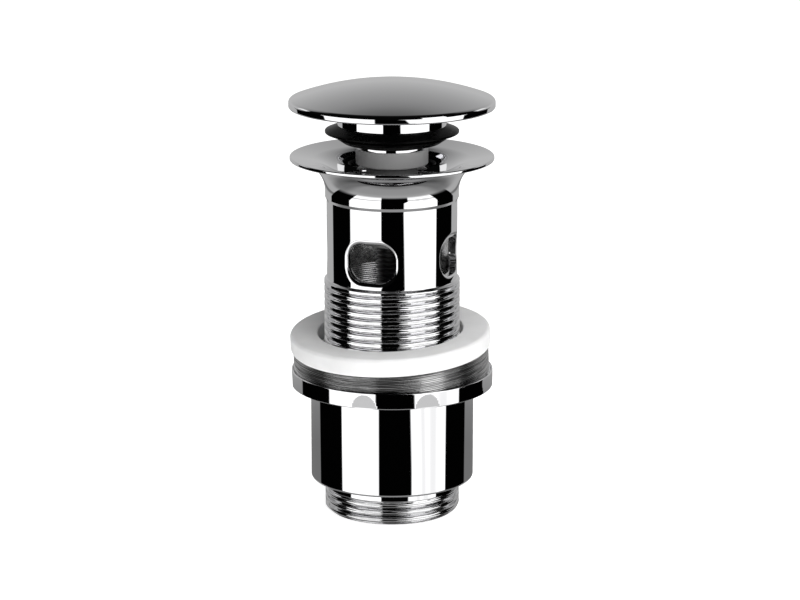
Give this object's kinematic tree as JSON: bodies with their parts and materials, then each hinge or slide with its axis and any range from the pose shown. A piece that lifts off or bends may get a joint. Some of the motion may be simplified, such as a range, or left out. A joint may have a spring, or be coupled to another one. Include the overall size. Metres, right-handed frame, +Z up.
{
  "type": "pop up basin waste",
  "caption": "Chrome pop up basin waste: domed push plug on a latching spring cartridge, flanged slotted overflow body, and a threaded clamping bell with a tail for the trap.",
  "frame": {"origin": "centre of the lower end face of the tail, on the waste's own axis", "axes": "+Z up the waste's axis from the tail to the cap, -Y towards the front view"},
  "size_m": [0.0632, 0.0635, 0.1351],
  "materials": {
    "polished_chrome": "mirror polished chrome plate on brass",
    "turned_metal": "plated over fine turning marks, not polished",
    "stud_steel": "zinc plated steel with rolled thread",
    "spring_steel": "drawn stainless wire",
    "black_rubber": "moulded rubber, slightly satin",
    "grey_plastic": "satin moulded acetal, grey",
    "dark_plastic": "satin moulded acetal, dark grey",
    "cam_plastic": "natural moulded acetal",
    "white_plastic": "soft white polyethylene with a moulded skin"
  },
  "bodies": {
    "waste": {"waste_body": "polished_chrome", "cartridge_barrel": "dark_plastic", "guide_bush": "cam_plastic", "snap_ring": "spring_steel", "anchor_stud": "stud_steel", "lock_nut": "stud_steel", "lock_washer": "stud_steel"},
    "plug": {"plug_cap": "polished_chrome", "plug_boss": "polished_chrome", "cap_stud": "stud_steel", "plug_seal": "black_rubber", "seal_retainer": "polished_chrome", "plunger_sleeve": "grey_plastic", "grit_ring": "black_rubber", "cam_plunger": "cam_plastic", "return_spring": "spring_steel"},
    "index": {"index_ring": "dark_plastic", "follower_pins": "stud_steel"},
    "washers": {"basin_seal": "white_plastic", "slip_washer": "turned_metal"},
    "bell": {"tail_bell": "polished_chrome"}
  },
  "joints": [
    {"name": "plug_push", "type": "slide", "parent": "waste", "child": "plug", "axis": [0, 0, 1], "range_m": [-0.0103, 0], "stiffness_N_per_m": 800, "springref_m": 0.012, "deforming": ["return_spring"]},
    {"name": "index_spin", "type": "hinge", "parent": "waste", "child": "index", "pos_m": [0, 0, 0.1039], "axis": [0, 0, 1], "range_deg": [-1, 66]},
    {"name": "washer_slide", "type": "slide", "parent": "waste", "child": "washers", "axis": [0, 0, 1], "range_m": [-0.006, 0.017]},
    {"name": "bell_screw", "type": "hinge", "parent": "washers", "child": "bell", "pos_m": [0, 0, 0.03], "axis": [0, 0, 1], "range_deg": [-930, 2640]}
  ],
  "couplings": [
    {"joint": "index_spin", "follows": "plug_push", "rad_per_m": -110.14},
    {"joint": "washer_slide", "follows": "bell_screw", "m_per_rad": 0.00036749}
  ]
}
